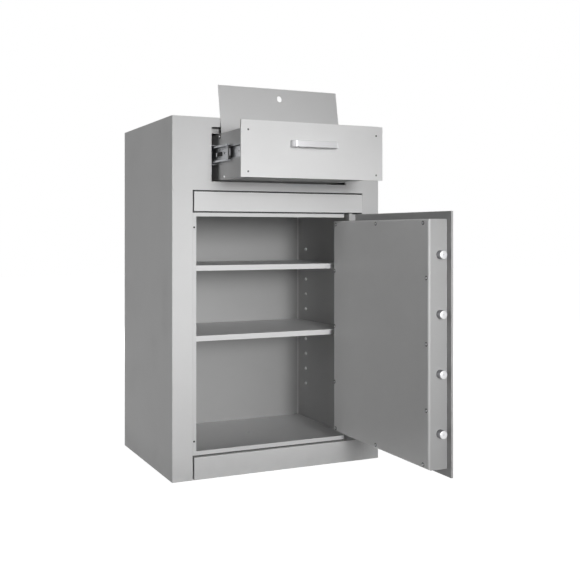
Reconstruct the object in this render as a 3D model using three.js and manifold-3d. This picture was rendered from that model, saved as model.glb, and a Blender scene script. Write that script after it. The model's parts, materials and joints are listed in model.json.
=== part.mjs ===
// Drop safe with a deposit drawer: a double-walled steel cabinet with a bolted door below
// and a drawer on telescopic slides above it, whose floor drops a deposit into the safe.
// Millimetres, +Z up. The casing's front plane faces -Y. The door stands open, the drawer
// is pulled out and its lid leans back against the casing.
import * as THREE from 'three';
import { mergeVertices } from 'three/addons/utils/BufferGeometryUtils.js';
import Module from 'manifold-3d';

const wasm = await Module();
wasm.setup();

// Clearances
const fit = 0.3;
const overrun = 4;
const doorGap = 3;

// Casing
const casingWidth = 650;
const casingDepth = 490;
const casingHeight = 1000;
const casingSheet = 3;
const wallDepth = 61;
const liningSheet = 2;
const stileWidth = 56.5;
const freeStileExtra = 2;
const cornerBend = 3;
const headHeight = 202;
const reliefHeight = 4;
const drawerStileWidth = 113.5;
const drawerHeaderHeight = 26.5;
const drawerSillHeight = 24;
const ceilingDrop = 60;
const plinthHeight = 62;
const panelSheet = 2.5;
const panelFreeGap = 4.8;
const panelHingeGap = 0.3;
const panelHeadGap = 4.5;
const anchorHoleRadius = 6;
const anchorHoleSetback = 240;

// Frame that the door closes on: a face that laps behind the door, and an outer part set back from it
const frameFront = 6.5;
const frameSheet = 2.5;
const frameStep = 5;
const frameSideGap = 2.5;
const frameEndGap = 4.5;
const frameLapSide = 11.5;
const frameLapFoot = 12.8;
const frameLapHead = 9.7;
const frameHoleRadius = 2.8;
const frameHoleInset = 6;
const frameHoleRise = 40;

// Hinge
const pivotInset = 28.6;
const pivotSetback = 18.5;
const openAngle = 89.6;
const pivotRodRadius = 5;
const bushRadius = 7;
const bushGap = 0.3;
const hingeLugBack = 27;
const hingeLugFree = 10.5;
const hingeLugHinge = 9.5;
const hingeLugLap = 1;
const pocketSide = 54.1;
const pocketDepth = 70;
const hingeNotch = 26.9;

// Shelves and their clips
const shelfFront = 73;
const shelfSideGap = 1;
const shelfBackGap = 1.5;
const shelfSheet = 2;
const shelfEdge = 15;
const clipHoleRadius = 3.5;
const clipHolePitch = 50;
const lowestClipRise = 117;
const highestClipDrop = 100;
const frontClipInset = 49;
const rearClipInset = 57;
const shelfRowShares = { lower: 0.4, upper: 0.8 };
const clipWidth = 14;
const clipReach = 12;
const clipSheet = 1.5;
const clipRise = 6.7;
const pegLength = 4;

// Door
const doorThickness = 5.7;
const panFreeMargin = 18.6;
const panHingeMargin = 1;
const panEndMargin = 20;
const panBack = 60;
const panSheet = 2;
const panBend = 6;

// Boltwork
const boltRadius = 11;
const boltThrow = 16.5;
const boltLength = 82;
const boltCount = 4;
const boltEndMargin = 90;
const boltAxisY = 26.4;
const boltBarWidth = 6;
const boltBarDepth = 24;
const boltBarOverhang = 25;
const guideSetback = 15;
const guideSheet = 3;
const spindleInset = 145.5;
const spindleRadius = 6;
const camRadius = 15;
const camThickness = 4;
const camPinRadius = 4;
const camPinThrow = 10;
const camPinClearance = 0.4;
const driveArmThickness = 4;
const driveArmHeight = 26;

// Handle and lock on the door's outer face
const roseRadius = 22;
const roseThickness = 5;
const hubRadius = 13;
const hubLength = 22;
const leverLength = 105;
const leverWidth = 17;
const leverThickness = 10;
const lockRise = 75;
const lockCaseWidth = 60;
const lockCaseHeight = 56;
const lockCaseDepth = 26;
const plugRadius = 8;
const plugDepth = 22;
const plugProud = 3;
const keySlotWidth = 2.4;
const keySlotHeight = 9;
const keySlotDepth = 12;
const escutcheonRadius = 15;
const escutcheonThickness = 2;

// Drawer compartment
const deckRise = 14;
const deckSheet = 2;
const bracketSetback = 0.5;
const bracketSheet = 2;
const bracketRise = 34;
const bracketFoot = 24;
const bracketFront = 10;
const lintelFront = 16;
const lintelGap = 3;
const lintelDepth = 24;
const lintelClearance = 2;
const lintelSheet = 2;
const chuteMargin = 8;
const chuteFront = 20;
const chuteEndRoom = 6;
const chuteSheet = 1.5;

// Drawer, pulled out by this distance
const drawerOut = 212;
const drawerFrontThickness = 6;
const drawerFrontGap = 1.25;
const drawerFootGap = 1.7;
const drawerHeadGap = 2.5;
const slideRoom = 23.5;
const boxRise = 5;
const boxHeadroom = 18.5;
const boxDepth = 356;
const boxSheet = 1.5;
const screwTabWidth = 14;
const screwTabHeight = 20;
const ledgeLap = 9.4;
const ledgeSheet = 2;
const ledgeFlange = 10;

// Telescopic slides
const slideLength = 350;
const slideStart = 6;
const slideRise = 69;
const slideSheet = 1.5;
const outerSlideHeight = 55;
const middleSlideHeight = 45;
const innerSlideHeight = 34;
const innerSlideDepth = 6.2;
const middleSlideWidth = 11.5;
const innerSlideSetback = 8;
const ballTrackWidth = 3;
const ballTrackInset = 20;
const middleSlideLip = 5;
const slideWindowInset = 56;
const slideWindowLength = 47;
const slideWindowHeight = 12;
const slideHoleInset = 39;
const slideHoleRadius = 2.6;
const innerHoleInset = 11;
const innerHoleRadius = 2.5;

// Drawer handle: a flat strip bent into a bow
const bowWidth = 136;
const bowOffset = -3;
const bowDrop = 66.3;
const bowHeight = 17.9;
const bowStrip = 5;
const bowReach = 22;
const bowBend = 10;

// Drop flap in the drawer's floor
const flapRodSetback = 10;
const flapRodRise = 4.2;
const flapRodRadius = 1.5;
const flapBarrelRadius = 3;
const flapSideGap = 1.5;
const flapMargin = 19;
const flapFrontMargin = 16.7;
const flapBackGap = 6;
const flapStopReach = 4;

// Lid
const lidPivotSetback = 4;
const lidPivotDrop = 8;
const lidRodRadius = 3;
const lidLean = 11;
const lidSheet = 2;
const lidSideGap = 1.8;
const lidReach = 148.3;
const lidKnuckle = 4;
const lidHoleRadius = 7.4;
const lidHoleStretch = 3.6;
const lidHoleInset = 30;

// Places in the casing that follow from the sizes above
const halfWidth = casingWidth / 2;
const insideHalfWidth = halfWidth - casingSheet;
const insideBack = casingDepth - casingSheet;
const seatedHalfWidth = insideHalfWidth - fit;
const cutoutHalfWidth = halfWidth - stileWidth;
const cutoutLeft = -cutoutHalfWidth + freeStileExtra;
const cutoutTop = casingHeight - headHeight;
const drawerOpeningHalfWidth = halfWidth - drawerStileWidth;
const drawerOpeningBottom = cutoutTop + drawerSillHeight;
const drawerOpeningTop = casingHeight - drawerHeaderHeight;
const safeCeiling = cutoutTop - ceilingDrop;
const safeHalfWidth = halfWidth - wallDepth;
const safeBack = casingDepth - wallDepth;
const safeFloor = wallDepth;
const doorHalfWidth = cutoutHalfWidth - doorGap;
const doorBottom = plinthHeight + doorGap;
const doorTop = safeCeiling - doorGap;
const frameSetback = frameFront + frameStep;
const frameBack = frameSetback + frameSheet;
const frameFaceLeft = cutoutLeft + frameSideGap;
const frameInnerLeft = -doorHalfWidth + frameLapSide;
const frameInnerBottom = doorBottom + frameLapFoot;
const frameInnerTop = doorTop - frameLapHead;
const headPanelBottom = safeCeiling + liningSheet;
const pivotX = doorHalfWidth - pivotInset;
const pivotY = pivotSetback;
const pocketRight = pivotX + pocketSide;
const lowestClipHole = safeFloor + lowestClipRise;
const clipHoleRows = 1 + Math.floor((safeCeiling - highestClipDrop - lowestClipHole) / clipHolePitch);
const clipHoleColumns = { front: shelfFront + frontClipInset, rear: safeBack - rearClipInset };

// Places on the door, closed
const panLeft = -doorHalfWidth + panFreeMargin;
const panRight = doorHalfWidth - panHingeMargin;
const panBottom = doorBottom + panEndMargin;
const panTop = doorTop - panEndMargin;
const lowestBolt = panBottom + boltEndMargin;
const boltPitch = (panTop - boltEndMargin - lowestBolt) / (boltCount - 1);
const spindleX = -doorHalfWidth + spindleInset;
const spindleZ = (doorBottom + doorTop) / 2;

// Places on the drawer and its slides
const deckBottom = cutoutTop + deckRise;
const deckTop = deckBottom + deckSheet;
const drawerFace = -drawerOut;
const drawerFrontHalfWidth = drawerOpeningHalfWidth - drawerFrontGap;
const drawerFrontBottom = drawerOpeningBottom + drawerFootGap;
const drawerFrontTop = drawerOpeningTop - drawerHeadGap;
const drawerBoxFront = drawerFace + drawerFrontThickness + fit;
const boxHalfWidth = drawerOpeningHalfWidth - slideRoom;
const boxBottom = drawerOpeningBottom + boxRise;
const boxTop = drawerOpeningTop - boxHeadroom;
const boxInside = boxHalfWidth - boxSheet;
const boxFloorTop = boxBottom + boxSheet;
const slideAxisZ = boxBottom + slideRise;
const bracketFace = drawerOpeningHalfWidth + bracketSetback;
const bracketTop = slideAxisZ + bracketRise;
const outerSlideFace = bracketFace - fit;
const outerSlideInside = boxHalfWidth + innerSlideDepth;
const innerSlideFace = boxHalfWidth + fit;
const middleSlideFace = outerSlideInside + slideSheet / 2;
const middleSlideLag = drawerOut / 2;
const middleSlideStart = slideStart - middleSlideLag;
const lintelBottom = boxTop + lintelClearance;
const lintelTop = drawerOpeningTop - lintelGap;
const bowLeft = bowOffset - bowWidth / 2;
const bowRight = bowOffset + bowWidth / 2;
const bowBottom = drawerFrontTop - bowDrop;
const flapHalfWidth = boxHalfWidth - flapMargin;
const flapFront = drawerBoxFront + flapFrontMargin;
const flapRodY = -flapRodSetback;
const chuteHalfWidth = flapHalfWidth + chuteMargin;
const chuteBack = chuteFront + flapRodY - flapFront + chuteEndRoom;
const lidHalfWidth = boxHalfWidth - lidSideGap;
const lidPivotY = -lidPivotSetback;
const lidPivotZ = boxTop - lidPivotDrop;

// The casing is centred on the space that it takes with its door open
const freeCornerReach = Math.hypot(doorHalfWidth + pivotX, pivotY);
const closedCornerAngle = Math.atan2(-pivotY, -doorHalfWidth - pivotX);
const freeCornerAngle = closedCornerAngle + THREE.MathUtils.degToRad(openAngle);
const frontmost = pivotY + freeCornerReach * Math.sin(freeCornerAngle);
const originShift = (casingDepth + frontmost) / 2;

// Materials
const paint = (color) => new THREE.MeshStandardMaterial({ color, roughness: 0.5, metalness: 0.1 });
const metal = (color, roughness) => new THREE.MeshStandardMaterial({ color, roughness, metalness: 1 });
const greyPaint = paint(0xc9c9c9);
const liningPaint = paint(0xa6a6a6);
const shelfPaint = paint(0xdadada);
const doorPaint = paint(0x8c8c8c);
const drawerPaint = paint(0xc4c4c4);
const zincSteel = metal(0xb4b4b8, 0.4);
const brightSteel = metal(0xd6d6da, 0.25);
const chromed = metal(0xe2e2e6, 0.12);
const brass = metal(0xb79a5c, 0.3);

// Groups: the front plane is at y = 0 in all of them
const safe = new THREE.Group();
const frontPlane = new THREE.Group();
frontPlane.position.y = -originShift;
safe.add(frontPlane);
const doorHinge = new THREE.Group();
doorHinge.position.set(pivotX, pivotY, 0);
doorHinge.rotation.z = THREE.MathUtils.degToRad(openAngle);
frontPlane.add(doorHinge);
const closedDoor = new THREE.Group();
closedDoor.position.set(-pivotX, -pivotY, 0);
doorHinge.add(closedDoor);
const lidHinge = new THREE.Group();
lidHinge.position.set(0, lidPivotY, lidPivotZ);
lidHinge.rotation.x = -THREE.MathUtils.degToRad(lidLean);
frontPlane.add(lidHinge);

// A closed three.js geometry becomes a solid that can be cut and joined
function toSolid(geometry) {
  geometry.deleteAttribute('normal');
  geometry.deleteAttribute('uv');
  const merged = mergeVertices(geometry);
  return new wasm.Manifold(new wasm.Mesh({
    numProp: 3,
    vertProperties: Float32Array.from(merged.attributes.position.array),
    triVerts: Uint32Array.from(merged.index.array),
  }));
}

function block([x0, x1], [y0, y1], [z0, z1]) {
  const geometry = new THREE.BoxGeometry(x1 - x0, y1 - y0, z1 - z0);
  geometry.translate((x0 + x1) / 2, (y0 + y1) / 2, (z0 + z1) / 2);
  return toSolid(geometry);
}

// A round bar along x, y or z; centre gives the other two places in that order
function bar(axis, centre, [from, to], radius, sides = 24) {
  const geometry = new THREE.CylinderGeometry(radius, radius, to - from, sides);
  const middle = (from + to) / 2;
  if (axis === 'x') {
    geometry.rotateZ(Math.PI / 2);
    geometry.translate(middle, centre[0], centre[1]);
  } else if (axis === 'y') {
    geometry.translate(centre[0], middle, centre[1]);
  } else {
    geometry.rotateX(Math.PI / 2);
    geometry.translate(centre[0], centre[1], middle);
  }
  return toSolid(geometry);
}

// An outline whose two corners at the far side b1 are bent round
function bentOutline([a0, a1], [b0, b1], radius) {
  const outline = new THREE.Shape();
  outline.moveTo(a0, b0);
  outline.lineTo(a1, b0);
  outline.lineTo(a1, b1 - radius);
  outline.absarc(a1 - radius, b1 - radius, radius, 0, Math.PI / 2);
  outline.lineTo(a0 + radius, b1);
  outline.absarc(a0 + radius, b1 - radius, radius, Math.PI / 2, Math.PI);
  return outline;
}

// The outline lies in the plane of two directions and is drawn out along their cross product
function prism(outline, length, across, up, start) {
  const options = { depth: length, bevelEnabled: false, curveSegments: 5 };
  const geometry = new THREE.ExtrudeGeometry(outline, options);
  const along = new THREE.Vector3().crossVectors(across, up);
  geometry.applyMatrix4(new THREE.Matrix4().makeBasis(across, up, along).setPosition(start));
  return toSolid(geometry);
}

const mirrored = (span, side) => (side < 0 ? [-span[1], -span[0]] : span);
const across = new THREE.Vector3(1, 0, 0);
const back = new THREE.Vector3(0, 1, 0);
const up = new THREE.Vector3(0, 0, 1);
const outward = new THREE.Vector3(0, -1, 0);
const past = (from, to) => [from - overrun, to + overrun];

function add(name, solid, material, group = frontPlane) {
  const mesh = solid.getMesh();
  const geometry = new THREE.BufferGeometry();
  geometry.setAttribute('position', new THREE.BufferAttribute(Float32Array.from(mesh.vertProperties), 3));
  geometry.setIndex(new THREE.BufferAttribute(Uint32Array.from(mesh.triVerts), 1));
  geometry.computeVertexNormals();
  const part = new THREE.Mesh(geometry, material);
  part.name = name;
  group.add(part);
}

// Outer casing: one folded sheet with sides, top, header and two front stiles
function outerCasing() {
  const plan = bentOutline([-halfWidth, halfWidth], [-insideBack, 0], cornerBend);
  const whole = prism(plan, casingHeight, across, outward, new THREE.Vector3(0, 0, casingHeight));
  const hollow = block([-insideHalfWidth, insideHalfWidth], [casingSheet, insideBack + overrun],
    [-overrun, casingHeight - casingSheet]);
  const frontWall = past(0, casingSheet);
  const doorway = block([cutoutLeft, cutoutHalfWidth], frontWall, [-overrun, cutoutTop]);
  const drawerOpening = block(
    [-drawerOpeningHalfWidth, drawerOpeningHalfWidth],
    frontWall,
    [drawerOpeningBottom, drawerOpeningTop],
  );
  let shell = whole.subtract(hollow).subtract(doorway).subtract(drawerOpening);
  for (const side of [-1, 1]) {
    const corner = mirrored([insideHalfWidth, halfWidth + overrun], side);
    shell = shell.subtract(block(corner, [-overrun, casingSheet], [cutoutTop - reliefHeight, cutoutTop]));
  }
  return shell;
}

// A shallow panel folded back along all four edges
function tray(acrossSpan, [front, rear], upSpan, sheet) {
  const inner = (span) => [span[0] + sheet, span[1] - sheet];
  const whole = block(acrossSpan, [front, rear], upSpan);
  return whole.subtract(block(inner(acrossSpan), [front + sheet, rear + overrun], inner(upSpan)));
}

// Frame that the closed door rests on, pressed forward from the sheet around it
function doorFrame() {
  const cutter = past(frameFront, frameBack);
  const faceHeight = [plinthHeight + frameEndGap, headPanelBottom - frameEndGap];
  const sheet = block([-seatedHalfWidth, seatedHalfWidth], [frameSetback, frameBack],
    [casingSheet + fit, cutoutTop - fit]);
  const raised = block([frameFaceLeft, pocketRight], [frameFront, frameBack], faceHeight);
  const behindHeight = [faceHeight[0] + frameSheet, faceHeight[1] - frameSheet];
  const behind = block([frameFaceLeft + frameSheet, pocketRight],
    [frameFront + frameSheet, frameBack + overrun], behindHeight);
  let ring = sheet.add(raised).subtract(behind);
  ring = ring.subtract(block([frameInnerLeft, pocketRight], cutter, [frameInnerBottom, frameInnerTop]));
  ring = ring.subtract(block([pivotX - hingeNotch, pocketRight], cutter, [safeFloor, safeCeiling]));
  const throughFace = [frameFront - overrun, frameFront + frameSheet];
  for (const z of [doorBottom + frameHoleRise, doorTop - frameHoleRise]) {
    ring = ring.subtract(bar('y', [frameInnerLeft - frameHoleInset, z], throughFace, frameHoleRadius, 16));
  }
  return ring;
}

// Inner walls, with the holes that the shelf clips hang in
function sideLining(side) {
  const front = side < 0 ? frameBack + fit : pocketDepth;
  const sheet = mirrored([safeHalfWidth, safeHalfWidth + liningSheet], side);
  let wall = block(sheet, [front, safeBack - fit], [safeFloor + fit, safeCeiling - fit]);
  for (const y of Object.values(clipHoleColumns)) {
    for (let row = 0; row < clipHoleRows; row += 1) {
      const z = lowestClipHole + row * clipHolePitch;
      wall = wall.subtract(bar('x', [y, z], past(sheet[0], sheet[1]), clipHoleRadius, 12));
    }
  }
  return wall;
}

function hingeChannel() {
  const height = [safeFloor + fit, safeCeiling - fit];
  const wall = block([pocketRight, pocketRight + liningSheet],
    [frameBack + fit, pocketDepth + liningSheet], height);
  const lip = block([safeHalfWidth + liningSheet + fit, pocketRight + liningSheet],
    [pocketDepth, pocketDepth + liningSheet], height);
  return wall.add(lip);
}

function safeFloorPlate() {
  const height = [safeFloor - liningSheet, safeFloor];
  const plate = block([-seatedHalfWidth, seatedHalfWidth], [frameBack + fit, insideBack - fit], height);
  return plate.subtract(bar('z', [0, anchorHoleSetback], past(height[0], height[1]), anchorHoleRadius));
}

function basePanel() {
  const depth = [frameSetback, insideBack - fit];
  const plate = block([-seatedHalfWidth, seatedHalfWidth], depth, [0, casingSheet]);
  return plate.subtract(bar('z', [0, anchorHoleSetback], past(0, casingSheet), anchorHoleRadius));
}

const chuteInsideHalfWidth = chuteHalfWidth - chuteSheet;
const chuteInside = [chuteFront + chuteSheet, chuteBack - chuteSheet];

// A level sheet with the drop opening cut in it
function dropSheet(front, heights) {
  const plate = block([-seatedHalfWidth, seatedHalfWidth], [front, insideBack - fit], heights);
  const opening = [-chuteInsideHalfWidth, chuteInsideHalfWidth];
  return plate.subtract(block(opening, chuteInside, past(heights[0], heights[1])));
}

function dropChute() {
  const height = [safeCeiling + liningSheet + fit, deckBottom - fit];
  const outside = block([-chuteHalfWidth, chuteHalfWidth], [chuteFront, chuteBack], height);
  return outside.subtract(
    block([-chuteInsideHalfWidth, chuteInsideHalfWidth], chuteInside, past(height[0], height[1])),
  );
}

// Shelves and clips hang from the holes of one row
const clipHoleHeight = (row) => lowestClipHole + row * clipHolePitch;
const shelfTopAt = (row) => clipHoleHeight(row) + clipRise + fit + shelfSheet;

function shelf(row) {
  const top = shelfTopAt(row);
  const width = [-safeHalfWidth + shelfSideGap, safeHalfWidth - shelfSideGap];
  const rear = safeBack - shelfBackGap;
  const plate = block(width, [shelfFront, rear], [top - shelfSheet, top]);
  const edge = [top - shelfEdge, top];
  const frontEdge = block(width, [shelfFront, shelfFront + shelfSheet], edge);
  const rearEdge = block(width, [rear - shelfSheet, rear], edge);
  return plate.add(frontEdge).add(rearEdge);
}

function shelfClip(side, y, row) {
  const z = clipHoleHeight(row);
  const face = safeHalfWidth - fit;
  const pegSpan = mirrored([face - clipSheet, face + pegLength], side);
  const peg = bar('x', [y, z], pegSpan, clipHoleRadius - fit, 12);
  const width = [y - clipWidth / 2, y + clipWidth / 2];
  const flange = block(mirrored([face - clipSheet, face], side), width, [z - clipRise, z + clipRise]);
  const top = z + clipRise;
  const ledge = block(mirrored([face - clipReach, face], side), width, [top - clipSheet, top]);
  return peg.add(flange).add(ledge);
}

function hingeBush(span) {
  const hole = bar('z', [pivotX, pivotY], past(span[0], span[1]), pivotRodRadius + fit);
  return bar('z', [pivotX, pivotY], span, bushRadius).subtract(hole);
}

// Angle that carries one telescopic slide on the deck
const slideSpan = [slideStart, slideStart + slideLength];

function slideBracket(side) {
  const rear = slideSpan[1] + slideStart;
  const wall = block(mirrored([bracketFace, bracketFace + bracketSheet], side), [bracketFront, rear],
    [deckTop + fit, bracketTop]);
  const foot = block(mirrored([bracketFace, bracketFace + bracketFoot], side), [bracketFront, rear],
    [deckTop + fit, deckTop + fit + bracketSheet]);
  return wall.add(foot);
}

function lintelRail() {
  const underTop = casingHeight - casingSheet - fit;
  const width = [-drawerOpeningHalfWidth + lintelGap, drawerOpeningHalfWidth - lintelGap];
  const rear = lintelFront + lintelDepth;
  const face = block(width, [lintelFront, lintelFront + lintelSheet], [lintelBottom, lintelTop]);
  const web = block(width, [lintelFront, rear], [lintelTop - lintelSheet, lintelTop]);
  const hanger = block(width, [rear - lintelSheet, rear], [lintelTop - lintelSheet, underTop]);
  return face.add(web).add(hanger);
}

const centredOn = (middle, height) => [middle - height / 2, middle + height / 2];

// Fixed slide member: a channel that opens towards the drawer
function slideOuter(side) {
  const height = centredOn(slideAxisZ, outerSlideHeight);
  const whole = block(mirrored([outerSlideInside, outerSlideFace], side), slideSpan, height);
  const hollow = block(mirrored([outerSlideInside - overrun, outerSlideFace - slideSheet], side),
    past(slideSpan[0], slideSpan[1]), [height[0] + slideSheet, height[1] - slideSheet]);
  return whole.subtract(hollow);
}

// Middle slide member: a channel the other way round, with its ball tracks above and below
function slideMiddle(side) {
  const start = middleSlideStart;
  const length = [start, start + slideLength];
  const height = centredOn(slideAxisZ, middleSlideHeight);
  const outside = middleSlideFace + middleSlideWidth;
  const whole = block(mirrored([middleSlideFace, outside], side), length, height);
  const hollow = block(mirrored([middleSlideFace + slideSheet, outside + overrun], side),
    past(length[0], length[1]), [height[0] + slideSheet, height[1] - slideSheet]);
  const lipX = mirrored([outside - slideSheet, outside], side);
  const upperLip = block(lipX, length, [height[1] - middleSlideLip, height[1]]);
  const lowerLip = block(lipX, length, [height[0], height[0] + middleSlideLip]);
  const trackHeight = centredOn(slideAxisZ, outerSlideHeight - 2 * (slideSheet + fit));
  const trackX = mirrored([outside - ballTrackWidth, outside], side);
  const trackY = [slideStart + ballTrackInset, length[1] - ballTrackInset];
  const upperTrack = block(trackX, trackY, [height[1] - slideSheet, trackHeight[1]]);
  const lowerTrack = block(trackX, trackY, [trackHeight[0], height[0] + slideSheet]);
  const web = mirrored(past(middleSlideFace, middleSlideFace + slideSheet), side);
  const windowY = [start + slideWindowInset, start + slideWindowInset + slideWindowLength];
  const window = block(web, windowY, centredOn(slideAxisZ, slideWindowHeight));
  const hole = bar('x', [start + slideHoleInset, slideAxisZ], web, slideHoleRadius, 16);
  const channel = whole.subtract(hollow).add(upperLip).add(lowerLip);
  return channel.add(upperTrack).add(lowerTrack).subtract(window).subtract(hole);
}

// Inner slide member, fixed to the drawer's side
function slideInner(side) {
  const start = drawerFace + innerSlideSetback + drawerFrontThickness;
  const length = [start, start + slideLength];
  const height = centredOn(slideAxisZ, innerSlideHeight);
  const outside = middleSlideFace - fit;
  const whole = block(mirrored([innerSlideFace, outside], side), length, height);
  const hollow = block(mirrored([innerSlideFace + slideSheet, outside + overrun], side),
    past(length[0], length[1]), [height[0] + slideSheet, height[1] - slideSheet]);
  const web = mirrored(past(innerSlideFace, innerSlideFace + slideSheet), side);
  const hole = bar('x', [start + innerHoleInset, slideAxisZ], web, innerHoleRadius, 16);
  return whole.subtract(hollow).subtract(hole);
}

const fillerWidth = [cutoutLeft + panelFreeGap, cutoutHalfWidth - panelHingeGap];
const panelDepth = [0, frameSetback - fit];
const liningHeight = [safeFloor + fit, safeCeiling - fit];
add('outer_casing', outerCasing(), greyPaint);
const backPanel = block([-halfWidth, halfWidth], [insideBack + fit, casingDepth], [0, casingHeight]);
add('back_panel', backPanel, greyPaint);
add('base_panel', basePanel(), greyPaint);
const fillerHeight = [headPanelBottom, cutoutTop - panelHeadGap];
add('upper_filler_panel', tray(fillerWidth, panelDepth, fillerHeight, panelSheet), greyPaint);
add('plinth_panel', tray(fillerWidth, panelDepth, [0, plinthHeight], panelSheet), greyPaint);
add('door_frame', doorFrame(), greyPaint);
add('left_lining', sideLining(-1), liningPaint);
add('right_lining', sideLining(1), liningPaint);
add('back_lining', block([-safeHalfWidth - liningSheet, safeHalfWidth + liningSheet],
  [safeBack, safeBack + liningSheet], liningHeight), liningPaint);
add('hinge_channel', hingeChannel(), liningPaint);
add('floor_plate', safeFloorPlate(), liningPaint);
add('ceiling_plate', dropSheet(frameBack + fit, [safeCeiling, safeCeiling + liningSheet]), liningPaint);
add('drop_chute', dropChute(), liningPaint);
add('drawer_deck', dropSheet(casingSheet + fit, [deckBottom, deckTop]), greyPaint);
for (const [level, share] of Object.entries(shelfRowShares)) {
  const row = Math.round(clipHoleRows * share);
  add(`${level}_shelf`, shelf(row), shelfPaint);
  for (const [sideName, side] of [['left', -1], ['right', 1]]) {
    for (const [place, y] of Object.entries(clipHoleColumns)) {
      add(`${level}_shelf_clip_${sideName}_${place}`, shelfClip(side, y, row), zincSteel);
    }
  }
}
add('upper_hinge_bush', hingeBush([doorTop + bushGap, safeCeiling - fit]), greyPaint);
add('lower_hinge_bush', hingeBush([safeFloor + fit, doorBottom - bushGap]), greyPaint);
add('lintel_rail', lintelRail(), greyPaint);
for (const [sideName, side] of [['left', -1], ['right', 1]]) {
  add(`slide_bracket_${sideName}`, slideBracket(side), greyPaint);
  add(`slide_outer_${sideName}`, slideOuter(side), zincSteel);
  add(`slide_middle_${sideName}`, slideMiddle(side), zincSteel);
  add(`slide_inner_${sideName}`, slideInner(side), zincSteel);
}

// Door, in the places that it has when closed
const boltHeights = Array.from({ length: boltCount }, (_, index) => lowestBolt + index * boltPitch);
const boltEnd = panLeft - boltThrow;
const lockZ = spindleZ + lockRise;
const panFront = doorThickness + fit;
const panCover = panBack - panSheet;

function doorPlate() {
  const plate = block([-doorHalfWidth, doorHalfWidth], [0, doorThickness], [doorBottom, doorTop]);
  const through = past(0, doorThickness);
  const spindleHole = bar('y', [spindleX, spindleZ], through, spindleRadius + fit);
  const plugHole = bar('y', [spindleX, lockZ], through, plugRadius + fit);
  return plate.subtract(spindleHole).subtract(plugHole);
}

// A box without its front, with its bends rounded along all four back edges
function bentBox([x0, x1], rear, [z0, z1], front, bend) {
  const planStart = new THREE.Vector3(0, 0, z0);
  const plan = prism(bentOutline([x0, x1], [front, rear], bend), z1 - z0, across, back, planStart);
  const elevationStart = new THREE.Vector3(x1, 0, 0);
  const elevation = prism(bentOutline([z0, z1], [front, rear], bend), x1 - x0, up, back, elevationStart);
  return plan.intersect(elevation);
}

function doorPan() {
  const outside = bentBox([panLeft, panRight], panBack, [panBottom, panTop], panFront, panBend);
  const inside = bentBox([panLeft + panSheet, panRight - panSheet], panCover,
    [panBottom + panSheet, panTop - panSheet], panFront - overrun, panBend - panSheet);
  let pan = outside.subtract(inside);
  for (const z of boltHeights) {
    pan = pan.subtract(bar('x', [boltAxisY, z], past(panLeft, panLeft + panSheet), boltRadius + fit));
  }
  for (const z of [[doorBottom, panBottom + hingeLugLap], [panTop - hingeLugLap, doorTop]]) {
    pan = pan.add(block([pivotX - hingeLugFree, pivotX + hingeLugHinge], [panFront, hingeLugBack], z));
  }
  return pan.subtract(bar('z', [pivotX, pivotY], past(doorBottom, doorTop), pivotRodRadius + fit));
}

function boltGuide() {
  const x = [panLeft + guideSetback, panLeft + guideSetback + guideSheet];
  const height = [boltHeights[0] - boltBarOverhang, boltHeights[boltCount - 1] + boltBarOverhang];
  let guide = block(x, [panFront, panCover - fit], height);
  for (const z of boltHeights) {
    guide = guide.subtract(bar('x', [boltAxisY, z], past(x[0], x[1]), boltRadius + fit));
  }
  return guide;
}

function lockCase() {
  const rear = panFront + lockCaseDepth;
  const body = block(centredOn(spindleX, lockCaseWidth), [panFront, rear], centredOn(lockZ, lockCaseHeight));
  return body.subtract(bar('y', [spindleX, lockZ], [panFront - overrun, plugDepth + fit], plugRadius + fit));
}

// A round plate on the door's face with a hole for what turns in it
function rose(z, radius, thickness, holeRadius) {
  const span = [-fit - thickness, -fit];
  return bar('y', [spindleX, z], span, radius, 36)
    .subtract(bar('y', [spindleX, z], past(span[0], span[1]), holeRadius));
}

// The cam pin starts an eighth of a turn before the top and ends as far past it
const camPinX = spindleX - camPinThrow * Math.SQRT1_2;
const camPinZ = spindleZ + camPinThrow * Math.SQRT1_2;
const driveArmFront = boltAxisY - driveArmThickness / 2;
const driveArmBack = boltAxisY + driveArmThickness / 2;
const boltBarLeft = boltEnd + boltLength + fit;

function boltBar() {
  const height = [boltHeights[0] - boltBarOverhang, boltHeights[boltCount - 1] + boltBarOverhang];
  const strip = block([boltBarLeft, boltBarLeft + boltBarWidth], centredOn(boltAxisY, boltBarDepth), height);
  const slotHalf = camPinRadius + camPinClearance;
  const arm = block([boltBarLeft, camPinX + slotHalf + boltBarWidth], [driveArmFront, driveArmBack],
    centredOn(camPinZ, driveArmHeight));
  const slot = block([camPinX - slotHalf, camPinX + slotHalf], past(driveArmFront, driveArmBack),
    [camPinZ - slotHalf, spindleZ + camPinThrow + slotHalf]);
  return strip.add(arm).subtract(slot);
}

const hubBack = -fit - roseThickness - fit;
const hubFront = hubBack - hubLength;
const spindleFront = hubFront + leverThickness / 2;

function handleSpindle() {
  const camBack = driveArmFront - fit;
  const shaft = bar('y', [spindleX, spindleZ], [spindleFront + fit, camBack], spindleRadius);
  const cam = bar('y', [spindleX, spindleZ], [camBack - camThickness, camBack], camRadius, 32);
  const pin = bar('y', [camPinX, camPinZ], [camBack - camThickness / 2, driveArmBack], camPinRadius);
  return shaft.add(cam).add(pin);
}

function leverHandle() {
  const hub = bar('y', [spindleX, spindleZ], [hubFront, hubBack], hubRadius, 32);
  const thickness = [hubFront, hubFront + leverThickness];
  const lever = block(centredOn(spindleX, leverWidth), thickness, [spindleZ - leverLength, spindleZ]);
  const tip = bar('y', [spindleX, spindleZ - leverLength], thickness, leverWidth / 2);
  const socket = bar('y', [spindleX, spindleZ], [spindleFront, hubBack + overrun], spindleRadius + fit);
  return hub.add(lever).add(tip).subtract(socket);
}

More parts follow.
